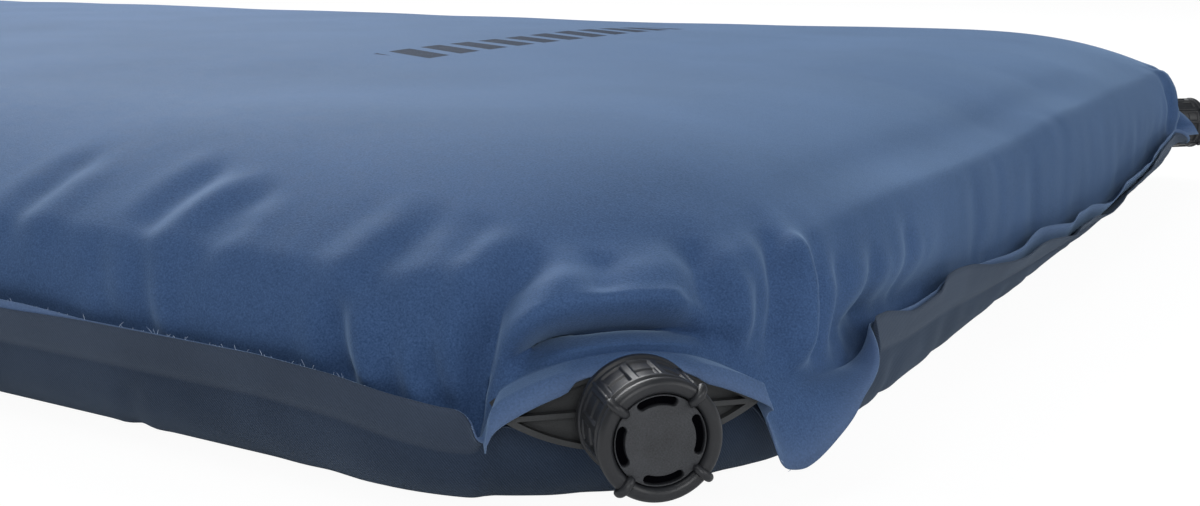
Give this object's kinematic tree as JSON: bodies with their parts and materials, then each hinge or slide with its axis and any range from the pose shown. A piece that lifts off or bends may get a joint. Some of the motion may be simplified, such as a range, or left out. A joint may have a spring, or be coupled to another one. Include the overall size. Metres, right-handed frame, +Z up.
{
  "type": "self-inflating camping mat",
  "caption": "Thick foam-cored air mattress with a welded edge, domed top, and a screw valve across each corner of one end; one valve has a one-way inlet flap.",
  "frame": {"origin": "on the floor, under the middle of the mat", "axes": "+X along the mat towards the end with the valves, +Y across it, +Z up out of the blue sleeping side"},
  "size_m": [2, 0.768, 0.1],
  "materials": {
    "top_fabric": "blue brushed polyester",
    "bottom_fabric": "dark coated polyester",
    "foam": "open-cell polyurethane foam",
    "valve_plastic": "moulded",
    "cap_plastic": "satin moulded",
    "face_plastic": "fine grain",
    "ring_steel": "bright",
    "seal_rubber": "smooth",
    "flap_rubber": "smooth silicone"
  },
  "bodies": {
    "mat": {"top_cover": "top_fabric", "bottom_cover": "bottom_fabric", "foam_core": "foam", "left_valve_body": "valve_plastic", "left_stop_ring": "ring_steel", "left_plug_seal": "seal_rubber", "left_inner_grille": "valve_plastic", "right_valve_body": "valve_plastic", "right_stop_ring": "ring_steel", "right_plug_seal": "seal_rubber", "right_inner_grille": "valve_plastic", "left_flap_pin": "ring_steel"},
    "left_cap_carriage": {"left_cap_seal_ring": "seal_rubber"},
    "left_cap": {"left_cap_shell": "cap_plastic", "left_cap_face": "face_plastic"},
    "right_cap_carriage": {"right_cap_seal_ring": "seal_rubber"},
    "right_cap": {"right_cap_shell": "cap_plastic", "right_cap_face": "face_plastic"},
    "left_flap": {"left_check_flap": "flap_rubber"}
  },
  "joints": [
    {"name": "left_cap_rise", "type": "slide", "parent": "mat", "child": "left_cap_carriage", "axis": [0.7071, -0.7071, 0], "range_m": [0, 0.00501]},
    {"name": "left_cap_turn", "type": "hinge", "parent": "left_cap_carriage", "child": "left_cap", "pos_m": [0.96207, -0.34607, 0.035], "axis": [0.7071, -0.7071, 0], "range_deg": [0, 225]},
    {"name": "right_cap_rise", "type": "slide", "parent": "mat", "child": "right_cap_carriage", "axis": [0.7071, 0.7071, 0], "range_m": [0, 0.00501]},
    {"name": "right_cap_turn", "type": "hinge", "parent": "right_cap_carriage", "child": "right_cap", "pos_m": [0.96207, 0.34607, 0.035], "axis": [0.7071, 0.7071, 0], "range_deg": [0, 225]},
    {"name": "left_flap_swing", "type": "hinge", "parent": "mat", "child": "left_flap", "pos_m": [0.94429, -0.32829, 0.0415], "axis": [0.7071, 0.7071, 0], "range_deg": [0, 60]}
  ],
  "couplings": [
    {"joint": "left_cap_rise", "follows": "left_cap_turn", "m_per_rad": 0.0012732},
    {"joint": "right_cap_rise", "follows": "right_cap_turn", "m_per_rad": 0.0012732}
  ]
}
